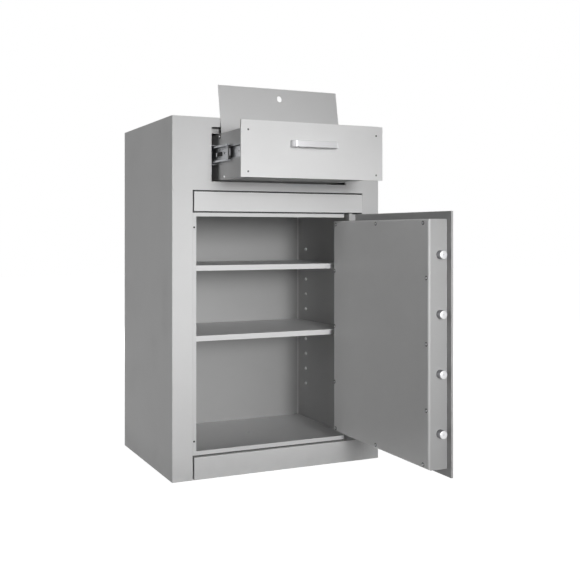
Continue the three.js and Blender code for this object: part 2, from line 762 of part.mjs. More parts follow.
function keyPlug() {
  const plug = bar('y', [spindleX, lockZ], [-plugProud, plugDepth], plugRadius);
  const slotDepth = [-plugProud - overrun, -plugProud + keySlotDepth];
  return plug.subtract(block(centredOn(spindleX, keySlotWidth), slotDepth, centredOn(lockZ, keySlotHeight)));
}

const rodHeight = [safeFloor + 2 * fit, safeCeiling - 2 * fit];
add('door_plate', doorPlate(), doorPaint, closedDoor);
add('door_pan', doorPan(), doorPaint, closedDoor);
add('door_pivot_rod', bar('z', [pivotX, pivotY], rodHeight, pivotRodRadius), zincSteel, closedDoor);
add('bolt_guide', boltGuide(), zincSteel, closedDoor);
add('lock_case', lockCase(), zincSteel, closedDoor);
add('handle_rose', rose(spindleZ, roseRadius, roseThickness, spindleRadius + fit), chromed, closedDoor);
const escutcheon = rose(lockZ, escutcheonRadius, escutcheonThickness, plugRadius + fit);
add('keyhole_plate', escutcheon, chromed, closedDoor);
add('bolt_bar', boltBar(), zincSteel, closedDoor);
boltHeights.forEach((z, index) => {
  const bolt = bar('x', [boltAxisY, z], [boltEnd, boltEnd + boltLength], boltRadius, 36);
  add(`lock_bolt_${index + 1}`, bolt, brightSteel, closedDoor);
});
add('handle_spindle', handleSpindle(), zincSteel, closedDoor);
add('lever_handle', leverHandle(), chromed, closedDoor);
add('key_plug', keyPlug(), brass, closedDoor);

// Lid, in the place that it has when it stands upright over its rod
const lean = THREE.MathUtils.degToRad(lidLean);
const lidBack = -lidPivotY * Math.cos(lean) - (casingHeight - lidPivotZ) * Math.sin(lean) - fit;
const lidFront = lidBack - lidSheet;

function lid() {
  const width = [-lidHalfWidth, lidHalfWidth];
  const plate = block(width, [lidFront, lidBack], [-lidKnuckle - fit, lidReach]);
  const knuckle = block(width, [lidFront, lidKnuckle], [-lidKnuckle - fit, lidKnuckle + fit]);
  const bore = bar('x', [0, 0], past(-lidHalfWidth, lidHalfWidth), lidRodRadius + fit);
  const through = past(lidFront, lidBack);
  const holeZ = centredOn(lidReach - lidHoleInset, lidHoleStretch);
  let fingerHole = block([-lidHoleRadius, lidHoleRadius], through, holeZ);
  for (const z of holeZ) fingerHole = fingerHole.add(bar('y', [0, z], through, lidHoleRadius));
  return plate.add(knuckle).subtract(bore).subtract(fingerHole);
}

// Drawer
const flapRodZ = boxBottom + flapRodRise;
const rodSpan = [-boxHalfWidth + fit, boxHalfWidth - fit];
const flapOpeningFront = flapFront - flapSideGap;

function drawerBox() {
  const y = [drawerBoxFront, drawerBoxFront + boxDepth];
  const outside = block([-boxHalfWidth, boxHalfWidth], y, [boxBottom, boxTop]);
  const inside = block([-boxInside, boxInside], [y[0] + boxSheet, y[1] - boxSheet],
    [boxFloorTop, boxTop + overrun]);
  const openingHalf = flapHalfWidth + flapSideGap;
  const floorOpening = block([-openingHalf, openingHalf], [flapOpeningFront, flapRodY + flapBackGap],
    past(boxBottom, boxFloorTop));
  let box = outside.subtract(inside).subtract(floorOpening);
  const lipBottom = boxFloorTop + fit;
  const lipTop = lipBottom + boxSheet;
  const lipRear = flapFront + flapStopReach;
  const lipFoot = block([-flapHalfWidth, flapHalfWidth], [flapOpeningFront - boxSheet, flapOpeningFront],
    [boxBottom, lipTop]);
  box = box.add(lipFoot).add(block([-flapHalfWidth, flapHalfWidth], [flapOpeningFront - boxSheet, lipRear],
    [lipBottom, lipTop]));
  for (const side of [-1, 1]) {
    const tabX = mirrored([boxHalfWidth - boxSheet, boxHalfWidth + screwTabWidth], side);
    for (const z of [[boxBottom, boxBottom + screwTabHeight], [boxTop - screwTabHeight, boxTop]]) {
      box = box.add(block(tabX, [y[0], y[0] + boxSheet], z));
    }
  }
  const wholeWidth = past(-boxHalfWidth, boxHalfWidth);
  return box
    .subtract(bar('x', [flapRodY, flapRodZ], wholeWidth, flapRodRadius + fit))
    .subtract(bar('x', [lidPivotY, lidPivotZ], wholeWidth, lidRodRadius + fit));
}

// The folded lid lands on this ledge behind the drawer's front
function frontLedge() {
  const top = lidPivotZ + lidFront - fit;
  const front = drawerBoxFront + boxSheet + fit;
  const rear = lidPivotY - lidReach + ledgeLap;
  const width = [-boxInside + fit, boxInside - fit];
  const plate = block(width, [front, rear], [top - ledgeSheet, top]);
  return plate.add(block(width, [rear - ledgeSheet, rear], [top - ledgeFlange, top]));
}

function drawerHandle() {
  const start = new THREE.Vector3(0, drawerFace - fit, bowBottom + bowHeight);
  const outline = bentOutline([bowLeft, bowRight], [0, bowReach], bowBend);
  const outside = prism(outline, bowHeight, across, outward, start);
  const innerSpan = [bowLeft + bowStrip, bowRight - bowStrip];
  const inside = bentOutline(innerSpan, [-overrun, bowReach - bowStrip], bowBend - bowStrip);
  const wider = new THREE.Vector3(0, drawerFace - fit, bowBottom + bowHeight + overrun);
  return outside.subtract(prism(inside, bowHeight + 2 * overrun, across, outward, wider));
}

function dropFlap() {
  const width = [-flapHalfWidth, flapHalfWidth];
  const plate = block(width, [flapFront, flapRodY + flapBarrelRadius], [boxBottom, boxFloorTop]);
  const barrel = bar('x', [flapRodY, flapRodZ], width, flapBarrelRadius);
  const bore = bar('x', [flapRodY, flapRodZ], past(width[0], width[1]), flapRodRadius + fit);
  return plate.add(barrel).subtract(bore);
}

const frontPlate = block([-drawerFrontHalfWidth, drawerFrontHalfWidth],
  [drawerFace, drawerFace + drawerFrontThickness], [drawerFrontBottom, drawerFrontTop]);
add('drawer_front', frontPlate, drawerPaint);
add('drawer_box', drawerBox(), drawerPaint);
add('front_ledge', frontLedge(), drawerPaint);
add('drawer_handle', drawerHandle(), chromed);
add('flap_rod', bar('x', [flapRodY, flapRodZ], rodSpan, flapRodRadius), zincSteel);
add('lid_rod', bar('x', [lidPivotY, lidPivotZ], rodSpan, lidRodRadius), zincSteel);
add('drop_flap', dropFlap(), drawerPaint);
add('lid', lid(), drawerPaint, lidHinge);

export default safe;
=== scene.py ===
"""Drop safe with a deposit drawer: finishes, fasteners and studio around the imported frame.

Metres, +Z up, the front faces -Y. The door stands open, the drawer is out and its lid leans back.
"""
import json
import math

import bmesh
import bpy
from mathutils import Matrix, Vector


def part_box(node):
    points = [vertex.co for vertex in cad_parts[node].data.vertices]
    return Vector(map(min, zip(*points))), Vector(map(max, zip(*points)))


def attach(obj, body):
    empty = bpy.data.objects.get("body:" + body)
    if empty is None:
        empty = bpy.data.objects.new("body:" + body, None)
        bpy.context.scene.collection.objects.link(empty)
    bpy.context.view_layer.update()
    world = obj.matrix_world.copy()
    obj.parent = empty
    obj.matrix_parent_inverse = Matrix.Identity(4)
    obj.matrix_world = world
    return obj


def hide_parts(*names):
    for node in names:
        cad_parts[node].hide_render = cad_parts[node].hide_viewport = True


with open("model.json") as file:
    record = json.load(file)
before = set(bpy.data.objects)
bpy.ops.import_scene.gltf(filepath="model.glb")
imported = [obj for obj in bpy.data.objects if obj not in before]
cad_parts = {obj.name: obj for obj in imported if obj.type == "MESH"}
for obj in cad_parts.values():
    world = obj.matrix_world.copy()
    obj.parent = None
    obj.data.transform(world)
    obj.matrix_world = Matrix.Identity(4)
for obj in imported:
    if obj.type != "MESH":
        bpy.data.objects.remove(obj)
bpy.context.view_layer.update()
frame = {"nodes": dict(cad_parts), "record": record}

MM = 0.001
DOOR_OPEN = math.radians(89.6)
LID_LEAN = math.radians(11)
SIDES = ((-1, "left"), (1, "right"))
behaviour = frame["record"]["behaviour"]
joints = {joint["name"]: joint for joint in behaviour["joints"]}
door_pivot = Vector(joints["door_hinge"]["pos_m"]) * Vector((1, 1, 0))
lid_pivot = Vector(joints["lid_hinge"]["pos_m"])


def turn_about(pivot, angle, axis):
    """The turn by an angle round an axis through a pivot."""
    return Matrix.Translation(pivot) @ Matrix.Rotation(angle, 4, axis) @ Matrix.Translation(-pivot)


# What turns a closed door, or an upright lid, into its place at rest
door_turn = turn_about(door_pivot, DOOR_OPEN, "Z")
lid_turn = turn_about(lid_pivot, -LID_LEAN, "X")
straight = Matrix.Identity(4)
turns = {"door": door_turn, "boltwork": door_turn, "handle": door_turn, "key": door_turn,
         "drawer_lid": lid_turn}
node_bodies = {node: body for body, nodes in behaviour["bodies"].items() for node in nodes}


class Value:
    """A shader socket that takes part in Python sums, each of which adds its Math node."""

    def __init__(self, shader, socket):
        self.shader = shader
        self.socket = socket

    def sum(self, operation, first, second):
        return self.shader.node("ShaderNodeMath", {"operation": operation}, {0: first, 1: second})

    def __add__(self, other):
        return self.sum("ADD", self, other)

    def __sub__(self, other):
        return self.sum("SUBTRACT", self, other)

    def __mul__(self, other):
        return self.sum("MULTIPLY", self, other)

    def __rsub__(self, other):
        return self.sum("SUBTRACT", other, self)

    __radd__ = __add__
    __rmul__ = __mul__

    def least(self, other):
        return self.sum("MINIMUM", self, other)

    def most(self, other):
        return self.sum("MAXIMUM", self, other)


class Shader:
    """A tree of shader nodes, all of them made by one method."""

    def __init__(self, tree):
        self.tree = tree

    def node(self, kind, settings=None, sockets=None, output=0):
        made = self.tree.nodes.new(kind)
        for name, value in (settings or {}).items():
            setattr(made, name, value)
        for name, value in (sockets or {}).items():
            self.set(made.inputs[name], value)
        return Value(self, made.outputs[output])

    def set(self, socket, value):
        """Links a value to a socket, or writes a constant on it."""
        if isinstance(value, Value):
            self.tree.links.new(value.socket, socket)
        else:
            socket.default_value = value


class Finish(Shader):
    """One material of a piece: its surface is a Principled shader."""

    def __init__(self, name, turn=straight):
        self.material = bpy.data.materials.new(name)
        self.material.use_nodes = True
        super().__init__(self.material.node_tree)
        self.surface = self.tree.nodes["Principled BSDF"]
        raw = self.node("ShaderNodeTexCoord", output="Object")
        back = turn.inverted()
        turned = {"Vector": raw, "Location": back.to_translation(), "Rotation": back.to_euler()}
        self.place = raw if turn == straight else self.node("ShaderNodeMapping", {}, turned)

    def feed(self, **sockets):
        """Sets or links the shader's own sockets; an underscore stands for a space."""
        for name, value in sockets.items():
            self.set(self.surface.inputs[name.replace("_", " ")], value)

    def along(self, axis):
        """The place along X, Y or Z, in the piece's own turn."""
        return self.node("ShaderNodeSeparateXYZ", {}, {0: self.place}, output=axis)

    def grain(self, scale, detail=2.0, stretch=None):
        """Noise from 0 to 1, about `scale` patches to the metre."""
        where = self.place
        if stretch:
            where = self.node("ShaderNodeMapping", {}, {"Vector": self.place, "Scale": stretch})
        return self.node("ShaderNodeTexNoise", {}, {"Vector": where, "Scale": scale, "Detail": detail})

    def lathe_lines(self, kind, settings, scale, distortion):
        sockets = {"Vector": self.place, "Scale": scale, "Distortion": distortion, "Detail": 1.0}
        return self.node("ShaderNodeTexWave", {"wave_type": kind, **settings}, sockets, output=1)

    def step(self, value, low, high, start=0.0, end=1.0):
        """A soft step of value from low to high."""
        sockets = {"Value": value, "From Min": low, "From Max": high, "To Min": start, "To Max": end}
        return self.node("ShaderNodeMapRange", {"interpolation_type": "SMOOTHSTEP"}, sockets)

    def blend(self, share, first, second):
        """A colour between two greys or colours."""
        sockets = {0: share, 6: colour(first), 7: colour(second)}
        return self.node("ShaderNodeMix", {"data_type": "RGBA"}, sockets, output=2)

    def bump(self, height, depth, strength=1.0, over=None):
        sockets = {"Height": height, "Distance": depth, "Strength": strength}
        if over:
            sockets["Normal"] = over
        return self.node("ShaderNodeBump", {}, sockets)

    def edge_distance(self, low, high):
        """Distance to the nearest edge of the box that a piece fills.

        An edge is near where two of the three distances are small, so the middle one counts."""
        places = [self.along(axis) for axis in range(3)]
        a, b, c = [(place - low[axis]).least(high[axis] - place) for axis, place in enumerate(places)]
        return a.least(b).most(a.most(b).least(c))


def colour(value):
    """A grey number, a colour or a linked value as what a colour socket takes."""
    if isinstance(value, (int, float)):
        return (value, value, value, 1.0)
    return value if isinstance(value, Value) else (*value, 1.0)


def turned_box(obj, turn):
    """Lowest and highest corner of a node before its turn."""
    back = turn.inverted()
    points = [back @ vertex.co for vertex in obj.data.vertices]
    return [[pick(point[axis] for point in points) for axis in range(3)] for pick in (min, max)]


# Finishes: tones are shares of white, patch sizes are counted to the metre, and depths of bump are metres
COAT_CLOUD = 0.07
COAT_PALEST = 0.95
COAT_WORN = 1.3
COAT_WORN_PALEST = 0.92
COAT_DUSTY = 0.62
COAT_ROUGHNESS = 0.46
COAT_SHEEN = 0.3
EDGE_WEAR = (0.4 * MM, 2.2 * MM)
DUST_HEIGHT = 90 * MM
INNER_STEP = 0.4 * MM
PEEL_DEPTH = 0.06 * MM
WAVE_DEPTH = 0.4 * MM


def powder_coat(name, tone, turn=straight, box=None, roughness=COAT_ROUGHNESS, dust=0.0, inner=None,
                sheen=COAT_SHEEN):
    """Fine-textured powder coat with a faint cloudiness, rubbed patches and paler edges.

    Inner is a place along Y, in the piece's own turn, and the share of the tone behind it: painted shade
    where the share is below 1, painted light where it is above."""
    finish = Finish(name, turn)
    cloud = finish.grain(3.2, 1.0)
    patch = finish.grain(17.0, 3.0)
    speck = finish.grain(420.0, 2.0)
    shade = cloud * 0.55 + patch * 0.3 + speck * 0.15
    coat = finish.blend(shade, tone * (1 - COAT_CLOUD), min(tone * (1 + COAT_CLOUD), COAT_PALEST))
    # Behind the inner place the tone is painted shade for a share below 1 and painted light for a share above
    # 1
    if inner:
        place, share = inner
        shaded_or_lit_coat = finish.blend(shade, tone * share * (1 - COAT_CLOUD), tone * share * (1 + COAT_CLOUD))
        coat = finish.blend(finish.step(finish.along(1), place - INNER_STEP, place), coat, shaded_or_lit_coat)
    rub = finish.step(finish.grain(9.0, 4.0), 0.52, 0.72)
    smear = finish.step(finish.grain(30.0, 3.0, (1.0, 1.0, 0.12)), 0.6, 0.8)
    if box:
        near_edge = finish.step(finish.edge_distance(*box), *EDGE_WEAR, 1.0, 0.0)
        worn = near_edge * finish.step(finish.grain(60.0, 3.0), 0.35, 0.65, 0.35, 1.0)
        coat = finish.blend(worn * 0.55, coat, min(tone * COAT_WORN, COAT_WORN_PALEST))
    if dust:
        low_down = finish.step(finish.along(2), 0.0, DUST_HEIGHT, dust, 0.0)
        coat = finish.blend(low_down * patch, coat, tone * COAT_DUSTY)
    peel = finish.grain(520.0, 2.0)
    wave = finish.grain(60.0, 1.0)
    texture = finish.bump(peel, PEEL_DEPTH, 0.5, finish.bump(wave, WAVE_DEPTH, 0.12))
    finish.feed(Base_Color=coat, Normal=texture, Specular_IOR_Level=sheen,
                Roughness=roughness + rub * 0.07 - smear * 0.05 + speck * 0.05)
    return finish.material


ZINC_DARK = (0.42, 0.43, 0.45)
ZINC_LIGHT = (0.72, 0.73, 0.75)
ZINC_SPOT = (0.35, 0.35, 0.36)
ROLLING_DEPTH = 0.08 * MM


def zinc_plate(name, stretch, turn=straight, share=1.0):
    """Rolled and zinc-plated steel with faint streaks along the piece; a share below 1 darkens it as painted
    shade.
    """
    finish = Finish(name, turn)
    streak = finish.grain(1.0, 3.0, stretch)
    bloom = finish.grain(38.0, 4.0)
    spot = finish.step(finish.grain(150.0, 2.0), 0.62, 0.78)
    low, high = [tuple(part * share for part in plate) for plate in (ZINC_DARK, ZINC_LIGHT)]
    bright = finish.blend(streak * 0.6 + bloom * 0.4, low, high)
    finish.feed(Base_Color=finish.blend(spot * 0.3, bright, ZINC_SPOT), Metallic=0.92,
                Roughness=0.3 + bloom * 0.16 + spot * 0.08, Normal=finish.bump(streak, ROLLING_DEPTH, 0.35))
    return finish.material


LATHE_DEPTH = 0.04 * MM


def turned_steel(name, dark, light):
    """Steel turned on a lathe: rings on the face and fine lines round the body."""
    finish = Finish(name)
    face = finish.lathe_lines("RINGS", {"rings_direction": "X"}, 420.0, 0.4)
    body = finish.lathe_lines("BANDS", {"bands_direction": "X"}, 380.0, 0.6)
    smudge = finish.grain(55.0, 3.0)
    lines = finish.bump(face * 0.5 + body * 0.5, LATHE_DEPTH, 0.35)
    finish.feed(Base_Color=finish.blend(smudge, dark, light), Metallic=0.85,
                Roughness=0.28 + smudge * 0.14, Normal=lines)
    return finish.material


CHROME = (0.6, 0.6, 0.61)
CHROME_FINGERED = (0.52, 0.52, 0.53)
CHROME_BRUSH = (14.0, 900.0, 900.0)
BRUSH_DEPTH = 0.03 * MM


def satin_chrome(name, turn=straight):
    """Pearl chrome, brushed along the strip, with fingered patches."""
    finish = Finish(name, turn)
    brush = finish.grain(1.0, 2.0, CHROME_BRUSH)
    touch = finish.step(finish.grain(70.0, 3.0), 0.5, 0.75)
    finish.feed(Base_Color=finish.blend(touch * 0.5, CHROME, CHROME_FINGERED), Metallic=0.45,
                Roughness=0.34 + touch * 0.1 + brush * 0.08, Normal=finish.bump(brush, BRUSH_DEPTH, 0.3))
    return finish.material


BRASS_TARNISHED = (0.55, 0.4, 0.18)
BRASS_CLEAN = (0.78, 0.6, 0.3)


def satin_brass(name):
    """Brass of the key plug, a little tarnished."""
    finish = Finish(name, door_turn)
    tarnish = finish.grain(180.0, 3.0)
    finish.feed(Base_Color=finish.blend(tarnish, BRASS_TARNISHED, BRASS_CLEAN), Metallic=1.0,
                Roughness=0.26 + tarnish * 0.16, Normal=finish.bump(finish.grain(700.0), BRUSH_DEPTH, 0.3))
    return finish.material


NYLON_BLACK = 0.012
NYLON_WORN = 0.045
NYLON_DEPTH = 0.08 * MM


def black_nylon(name):
    """Moulded nylon with a faint matt texture."""
    finish = Finish(name)
    spark = finish.grain(800.0, 2.0)
    wear = finish.step(finish.grain(90.0, 3.0), 0.5, 0.8)
    finish.feed(Base_Color=finish.blend(wear * 0.6, NYLON_BLACK, NYLON_WORN), Roughness=0.42 + spark * 0.16,
                Normal=finish.bump(spark, NYLON_DEPTH, 0.4))
    return finish.material


# Dressing of the CAD nodes: the paint's tone by slot, then the nodes whose tone is set apart one by one as
# painted light and shade:
# near black on the drawer deck, slide brackets and drop flap as painted shade inside the opening; darker on
# the back lining, lintel rail and door pan as painted shade; lighter on the side linings, floor plate, lid,
# drawer front and upper filler panel as painted light
tones = {"grey_paint": 0.675, "lining_paint": 0.43, "shelf_paint": 0.73, "door_paint": 0.6,
         "drawer_paint": 0.62}
painted_light_and_shade_tones = {
    "drawer_deck": 0.08, "slide_bracket_left": 0.08, "slide_bracket_right": 0.08, "drop_flap": 0.3,
    "lid": 0.69, "drawer_front": 0.83, "upper_filler_panel": 0.73, "floor_plate": 0.78, "door_pan": 0.55,
    "lintel_rail": 0.52, "back_lining": 0.385, "left_lining": 0.56, "right_lining": 0.56,
}
dusty = {"outer_casing": 0.5, "plinth_panel": 0.5, "floor_plate": 0.35, "base_panel": 0.6}

# Inner tones: how far from the node's front or back they begin, and their share of the outer tone. The door
# plate's begins at its back, whose face it darkens as painted shade; the door pan's lightens its cover as
# painted light; the door frame's darkens its set-back sheet as painted shade in the grooves.
DOOR_PLATE_INNER = 0.56
DOOR_PAN_COVER = 4 * MM, 1.36
DOOR_FRAME_INNER = 3.5 * MM, 0.12
DOOR_ROUGHNESS = 0.3
DOOR_SHEEN = 0.5

# How round the sheets' edges are, in millimetres
round_edges = {
    "outer_casing": 1.2, "upper_filler_panel": 1.2, "plinth_panel": 1.2, "door_frame": 0.7,
    "upper_shelf": 0.9, "lower_shelf": 0.9, "door_plate": 1.0, "drawer_front": 1.0, "lid": 0.5,
    "lever_handle": 1.5, "handle_rose": 1.2, "keyhole_plate": 0.6,
}
PLAIN_EDGE = 0.45
EDGE_ANGLE = 40
SLIDE_STREAKS = (900.0, 9.0, 260.0)
ROD_STREAKS = (300.0, 300.0, 9.0)
# The outer slide members are darker: painted shade inside the housing
SLIDE_OUTER_SHADE = 0.75
slots = {part["node"]: part["material_slot"] for part in frame["record"]["subparts"]}


def rounded(obj, width, angle):
    """Rounds the edges of a piece that are sharper than the angle, in degrees."""
    edge = obj.modifiers.new("rounded edges", "BEVEL")
    edge.width = width
    edge.segments = 3
    edge.limit_method = "ANGLE"
    edge.angle_limit = math.radians(angle)
    return edge


def painted(node, slot, box, turn):
    low, high = box
    # The inner tones paint shade on the door plate's back and the frame's set-back sheet, and light on the
    # door pan's cover
    inner = {"door_plate": (high[1], DOOR_PLATE_INNER),
             "door_pan": (high[1] - DOOR_PAN_COVER[0], DOOR_PAN_COVER[1]),
             "door_frame": (low[1] + DOOR_FRAME_INNER[0], DOOR_FRAME_INNER[1])}.get(node)
    of_door = slot == "door_paint"
    return powder_coat(f"{node}_coat", painted_light_and_shade_tones.get(node, tones[slot]), turn, box,
                       roughness=DOOR_ROUGHNESS if of_door else COAT_ROUGHNESS,
                       dust=dusty.get(node, 0.0), inner=inner, sheen=DOOR_SHEEN if of_door else COAT_SHEEN)


def dress(node, obj):
    turn = turns.get(node_bodies[node], straight)
    slot = slots[node]
    if slot in tones:
        material = painted(node, slot, turned_box(obj, turn), turn)
    elif slot == "chromed":
        material = satin_chrome(f"{node}_chrome", turn)
    elif slot == "brass":
        material = satin_brass(f"{node}_brass")
    else:
        # The outer slide members get a darker zinc as painted shade inside the housing
        share = SLIDE_OUTER_SHADE if node.startswith("slide_outer") else 1.0
        material = zinc_plate(f"{node}_zinc", SLIDE_STREAKS if "slide" in node else ROD_STREAKS, turn, share)
    obj.data.materials.clear()
    obj.data.materials.append(material)
    rounded(obj, round_edges.get(node, PLAIN_EDGE) * MM, EDGE_ANGLE).harden_normals = True


for node, obj in frame["nodes"].items():
    dress(node, obj)


# Making of the scene's own pieces
TURNED_EDGE = 35
BLOCK_EDGE = 50


def piece(name, mesh, body, slot, material, place=straight):
    obj = bpy.data.objects.new(name, mesh)
    bpy.context.scene.collection.objects.link(obj)
    obj.matrix_world = place
    if not mesh.materials:
        mesh.materials.append(material)
    for face in mesh.polygons:
        face.use_smooth = True
    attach(obj, body)
    return obj


def finished_mesh(name, bm, sharp_angle):
    """The mesh of a bmesh, with its edges sharp from an angle in degrees."""
    mesh = bpy.data.meshes.new(name)
    bm.to_mesh(mesh)
    bm.free()
    mesh.set_sharp_from_angle(angle=math.radians(sharp_angle))
    return mesh


def skin(bm, rings):
    """Faces from each ring of points to the next, and a face over both ends."""
    steps = len(rings[0])
    for first, second in zip(rings, rings[1:]):
        for index in range(steps):
            after = (index + 1) % steps
            bm.faces.new((first[index], first[after], second[after], second[index]))
    bm.faces.new(rings[0][::-1])
    bm.faces.new(rings[-1])
    bmesh.ops.recalc_face_normals(bm, faces=bm.faces)


def ring(bm, x, radius, steps, corners=0):
    """A ring of points round the X axis; with corners it is a polygon of that many sides."""
    points = []
    for index in range(steps):
        angle = 2 * math.pi * index / steps
        reach = radius
        if corners:
            side = 2 * math.pi / corners
            reach = radius * math.cos(side / 2) / math.cos((angle % side) - side / 2)
        points.append(bm.verts.new((x, reach * math.cos(angle), reach * math.sin(angle))))
    return points


def turned_mesh(name, profile, steps):
    """A closed body of revolution round X; each profile point is x, radius and the ring's corners."""
    bm = bmesh.new()
    skin(bm, [ring(bm, *point[:2], steps, *point[2:]) for point in profile])
    return finished_mesh(name, bm, TURNED_EDGE)


def rounded_block(name, low, high, radius, body, slot, material):
    bm = bmesh.new()
    bmesh.ops.create_cube(bm, size=1.0)
    bmesh.ops.scale(bm, vec=Vector(high) - Vector(low), verts=bm.verts)
    bmesh.ops.translate(bm, vec=(Vector(high) + Vector(low)) / 2, verts=bm.verts)
    bmesh.ops.bevel(bm, geom=bm.edges, offset=radius, segments=3, profile=0.5, affect="EDGES")
    return piece(name, finished_mesh(name, bm, BLOCK_EDGE), body, slot, material)


def facing(direction, point):
    """Places a piece made along X at a point, with its X along the direction."""
    return Matrix.Translation(point) @ Vector(direction).to_track_quat("X", "Z").to_matrix().to_4x4()


# Lock bolts: turned pins with chamfered ends and a centre mark; sizes are shares of the bolt's radius
BOLT_STEPS = 56
BOLT_CHAMFER = 0.1
BOLT_MARK = 0.1
# The bolts' end faces are pale and their bodies dark: painted light on the ends and painted shade on the
# bodies of one steel
bolt_body_shaded = turned_steel("bolt_body_steel", dark=(0.2, 0.2, 0.21), light=(0.32, 0.32, 0.33))
bolt_face_lit = turned_steel("bolt_face_steel", dark=(0.66, 0.66, 0.67), light=(0.78, 0.78, 0.79))


def lock_bolt(index):
    node = f"lock_bolt_{index}"
    low, high = turned_box(frame["nodes"][node], door_turn)
    radius = (high[2] - low[2]) / 2
    length = high[0] - low[0]
    chamfer = radius * BOLT_CHAMFER
    mark = radius * BOLT_MARK
    inner_end = [(length, radius - chamfer), (length - chamfer, radius)]
    outer_end = [(chamfer, radius), (chamfer * 0.35, radius * 0.96), (0.0, radius - chamfer)]
    profile = inner_end + outer_end + [(0.0, mark), (mark, mark * 0.1)]
    mesh = turned_mesh(f"turned_bolt_{index}", profile, BOLT_STEPS)
    mesh.materials.append(bolt_body_shaded)
    mesh.materials.append(bolt_face_lit)
    for face in mesh.polygons:
        deepest = max(mesh.vertices[vertex].co.x for vertex in face.vertices)
        face.material_index = int(deepest < chamfer * 0.5)
    end = Vector((low[0], (low[1] + high[1]) / 2, (low[2] + high[2]) / 2))
    place = door_turn @ facing((1, 0, 0), end)
    obj = piece(f"turned_bolt_{index}", mesh, "boltwork", "bright_steel", bolt_body_shaded, place)
    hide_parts(node)


for index in range(1, 5):
    lock_bolt(index)


# Screws: domed heads with a hexagon socket; a head is its radius and height
HEAD_RADIUS = 3.2 * MM
HEAD_HEIGHT = 1.8 * MM
HEAD_SKIRT = 0.3
SOCKET_RADIUS = 1.5 * MM
SOCKET_DEPTH = 1.3 * MM
SOCKET_RIM = 1.25
SOCKET_TAPER = 0.94
SCREW_STEPS = 24
SHADE_RING_RADIUS = 5.4 * MM
SHADE_RING_HEIGHT = 0.4 * MM
DOME_STEPS = (0.25, 0.5, 0.75)
SMALL_HEAD = 2.6 * MM, 0.6 * MM
nylon = black_nylon("black_nylon")
screw_steel = turned_steel("screw_black_oxide", dark=(0.07, 0.07, 0.07), light=(0.18, 0.18, 0.18))
head_zinc = turned_steel("cover_screw_zinc", dark=(0.4, 0.4, 0.41), light=(0.56, 0.56, 0.57))
pin_steel = turned_steel("pin_bright_steel", dark=(0.8, 0.8, 0.81), light=(0.92, 0.92, 0.93))


def screw_mesh(name, radius, height):
    """A head with the cover screw's proportions, at another radius and height."""
    socket = SOCKET_RADIUS * radius / HEAD_RADIUS
    socket_floor = height - SOCKET_DEPTH * height / HEAD_HEIGHT
    rim = socket * SOCKET_RIM
    profile = [(0.0, radius), (height * HEAD_SKIRT, radius)]
    for share in DOME_STEPS:
        angle = share * math.pi / 2
        rise = height * (HEAD_SKIRT + (1 - HEAD_SKIRT) * math.sin(angle))
        profile.append((rise, rim + (radius - rim) * math.cos(angle)))
    profile += [(height, rim), (height, socket, 6), (socket_floor, socket * SOCKET_TAPER, 6)]
    return turned_mesh(name, profile, SCREW_STEPS)


cover_screw = screw_mesh("cover_screw", HEAD_RADIUS, HEAD_HEIGHT)
# A black ring under each cover screw's head: painted shade round the head
shade_ring_profile = [(0.0, SHADE_RING_RADIUS), (SHADE_RING_HEIGHT, SHADE_RING_RADIUS), (SHADE_RING_HEIGHT, HEAD_RADIUS * 0.9)]
cover_screw_shade_ring = turned_mesh("cover_screw_shade_ring", shade_ring_profile, SCREW_STEPS)
small_screw = screw_mesh("front_screw", *SMALL_HEAD)

# Rows of the cover's screws: how far they stand in from the door's ends and from the pan's sides
SCREW_END_INSET = 30 * MM
SCREW_FREE_INSET = 11.5 * MM
SCREW_HINGE_INSET = 7.5 * MM
SCREW_CORNER_INSET = 26.4 * MM
SCREW_HINGE_CORNER_INSET = 15 * MM
SCREW_MIDDLE_OFFSET = 6.5 * MM
SCREW_SIDE_PITCH = 166.5 * MM
pan_low, pan_high = turned_box(frame["nodes"]["door_pan"], door_turn)
plate_low, plate_high = turned_box(frame["nodes"]["door_plate"], door_turn)


def cover_screws():
    middle_x = (pan_low[0] + pan_high[0]) / 2 + SCREW_MIDDLE_OFFSET
    middle_z = (pan_low[2] + pan_high[2]) / 2
    rows = [(x, z) for z in (plate_low[2] + SCREW_END_INSET, plate_high[2] - SCREW_END_INSET)
            for x in (pan_low[0] + SCREW_CORNER_INSET, middle_x, pan_high[0] - SCREW_HINGE_CORNER_INSET)]
    sides = [(x, middle_z + step * SCREW_SIDE_PITCH) for step in (-1, 0, 1)
             for x in (pan_low[0] + SCREW_FREE_INSET, pan_high[0] - SCREW_HINGE_INSET)]
    for index, (x, z) in enumerate(rows + sides, 1):
        spot = Vector((x, pan_high[1], z))
        place = door_turn @ facing((0, 1, 0), spot)
        # The black ring under the head is painted shade round it
        piece(f"cover_screw_shade_ring_{index}", cover_screw_shade_ring, "door", "zinc_steel", nylon, place)
        head = door_turn @ facing((0, 1, 0), spot + Vector((0, SHADE_RING_HEIGHT, 0)))
        piece(f"cover_screw_{index}", cover_screw, "door", "zinc_steel", head_zinc, head)


cover_screws()


